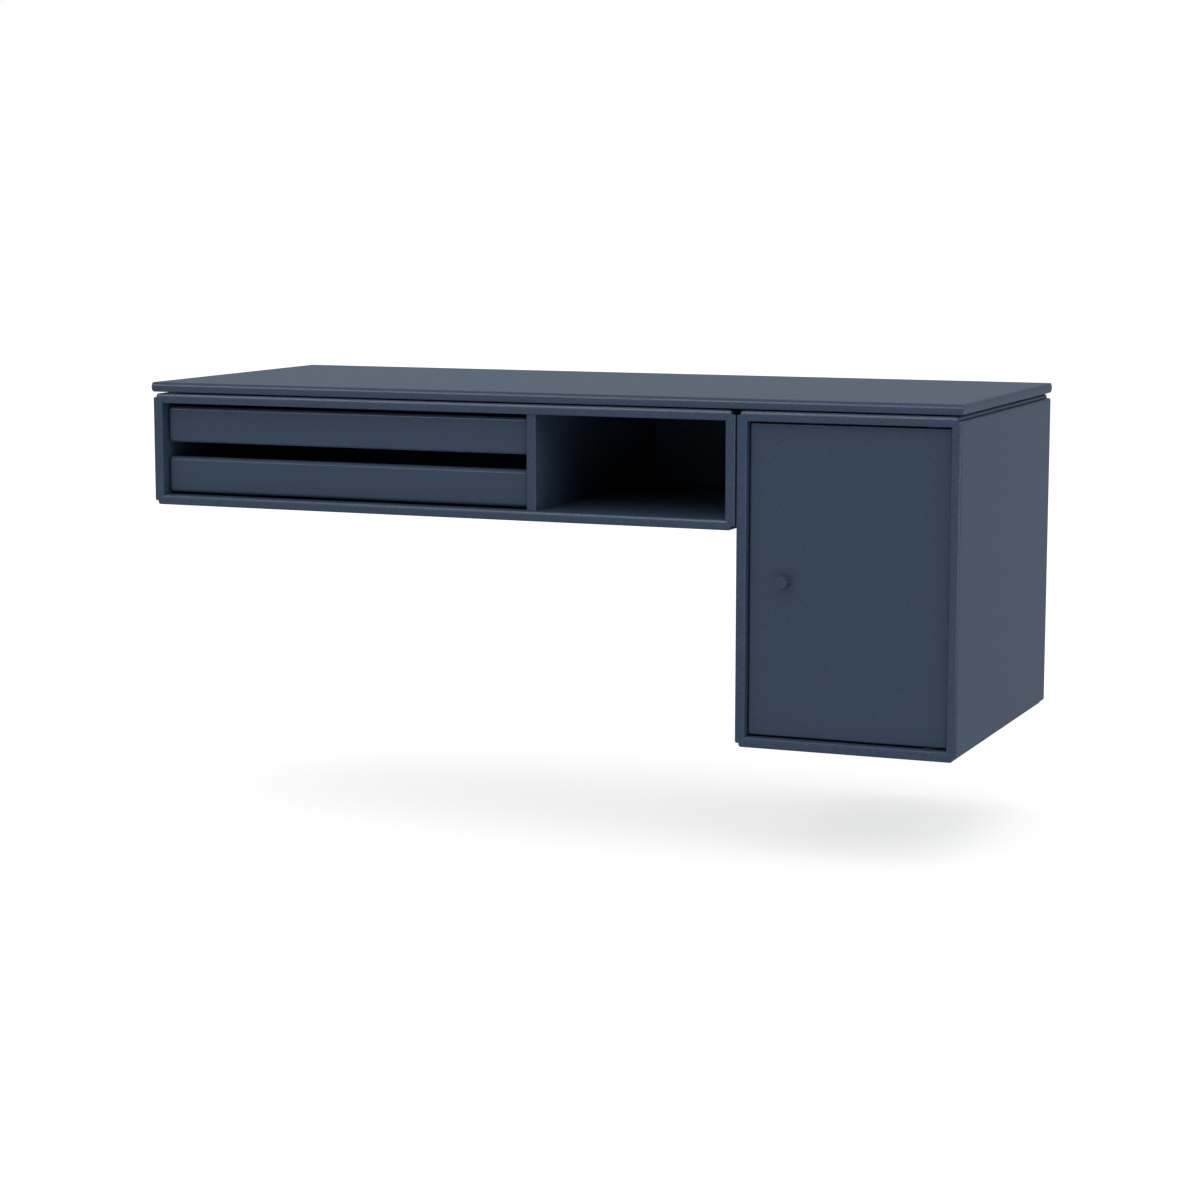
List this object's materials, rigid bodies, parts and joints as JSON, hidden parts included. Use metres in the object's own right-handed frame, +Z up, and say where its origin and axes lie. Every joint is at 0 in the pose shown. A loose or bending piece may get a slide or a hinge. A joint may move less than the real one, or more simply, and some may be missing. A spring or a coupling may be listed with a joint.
{
  "type": "floating wall desk",
  "caption": "Wall-hung desk with a long worktop over a low case with shallow trays and an open compartment, and a tall cabinet with an inset door.",
  "frame": {"origin": "midway between the two wall screws of the desk case, on the wall face", "axes": "+X to the right along the wall, +Y into the wall, +Z up; the front faces -Y"},
  "size_m": [0.9386, 0.3862, 0.366],
  "materials": {
    "lacquer": "dark slate-blue satin lacquer on fibreboard, with a fine orange-peel texture",
    "birch": "bare birch dowel",
    "steel": "zinc-plated steel",
    "rail_steel": "bent galvanised sheet steel",
    "nylon": "dark moulded nylon",
    "dark_pad": "thin black rubber pad"
  },
  "bodies": {
    "desk": {"worktop": "lacquer", "worktop_pads": "dark_pad", "worktop_screws": "steel", "desk_top_board": "lacquer", "desk_bottom_board": "lacquer", "desk_left_side": "lacquer", "desk_right_side": "lacquer", "desk_divider": "lacquer", "desk_back_panel": "lacquer", "desk_dowels": "birch", "upper_left_runner": "nylon", "upper_right_runner": "nylon", "lower_left_runner": "nylon", "lower_right_runner": "nylon", "runner_screws": "steel", "cabinet_top_board": "lacquer", "cabinet_bottom_board": "lacquer", "cabinet_left_side": "lacquer", "cabinet_right_side": "lacquer", "cabinet_back_panel": "lacquer", "cabinet_dowels": "birch", "cabinet_shelf": "lacquer", "shelf_supports": "steel", "pivot_bushes": "nylon", "catch_housing": "nylon", "catch_magnet": "steel", "catch_screws": "steel", "joining_bolts": "steel", "joining_nuts": "steel", "joining_pads": "dark_pad", "desk_hanging_rail": "rail_steel", "cabinet_hanging_rail": "rail_steel", "rail_screws": "steel", "desk_wall_rail": "rail_steel", "cabinet_wall_rail": "rail_steel"},
    "upper_tray": {"upper_tray_front": "lacquer", "upper_tray_left_side": "lacquer", "upper_tray_right_side": "lacquer", "upper_tray_back": "lacquer", "upper_tray_bottom": "lacquer", "upper_tray_dowels": "birch"},
    "lower_tray": {"lower_tray_front": "lacquer", "lower_tray_left_side": "lacquer", "lower_tray_right_side": "lacquer", "lower_tray_back": "lacquer", "lower_tray_bottom": "lacquer", "lower_tray_dowels": "birch"},
    "door": {"door_panel": "lacquer", "door_knob": "lacquer", "knob_screw": "steel", "pivot_pins": "steel", "catch_strike": "steel"}
  },
  "joints": [
    {"name": "upper_tray_slide", "type": "slide", "parent": "desk", "child": "upper_tray", "axis": [0, -1, 0], "range_m": [0, 0.25]},
    {"name": "lower_tray_slide", "type": "slide", "parent": "desk", "child": "lower_tray", "axis": [0, -1, 0], "range_m": [0, 0.25]},
    {"name": "door_hinge", "type": "hinge", "parent": "desk", "child": "door", "pos_m": [0.5562, -0.36523, -0.1], "axis": [0, 0, 1], "range_deg": [0, 105]}
  ]
}
